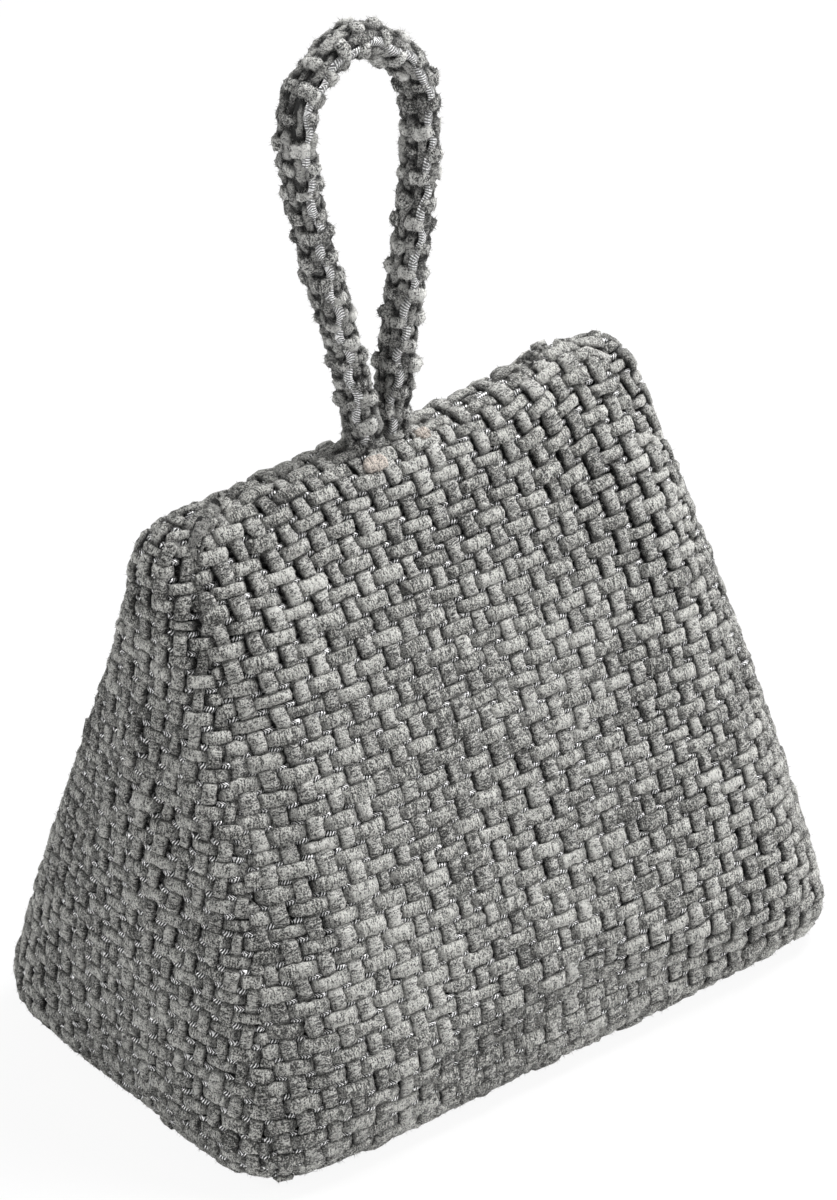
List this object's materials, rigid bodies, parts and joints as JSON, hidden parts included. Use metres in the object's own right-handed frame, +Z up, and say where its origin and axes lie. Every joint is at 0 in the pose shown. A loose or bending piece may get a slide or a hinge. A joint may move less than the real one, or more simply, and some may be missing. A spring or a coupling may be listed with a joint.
{
  "type": "weighted fabric door stop",
  "caption": "Filled bag of chunky woven fabric with a sagging ridge, a flat base and a loop handle, which holds a door open by its weight.",
  "frame": {"origin": "middle of the base, on the surface that the door stop stands on", "axes": "+X along the ridge towards its higher corner, +Z up, -Y out of the large front panel"},
  "size_m": [0.208, 0.1326, 0.273],
  "materials": {
    "bag_cloth": "matte chenille plain weave, mid grey",
    "handle_cloth": "matte chenille plain weave, mid grey"
  },
  "bodies": {
    "root": {"bag": "bag_cloth", "handle_loop": "handle_cloth"}
  },
  "joints": []
}
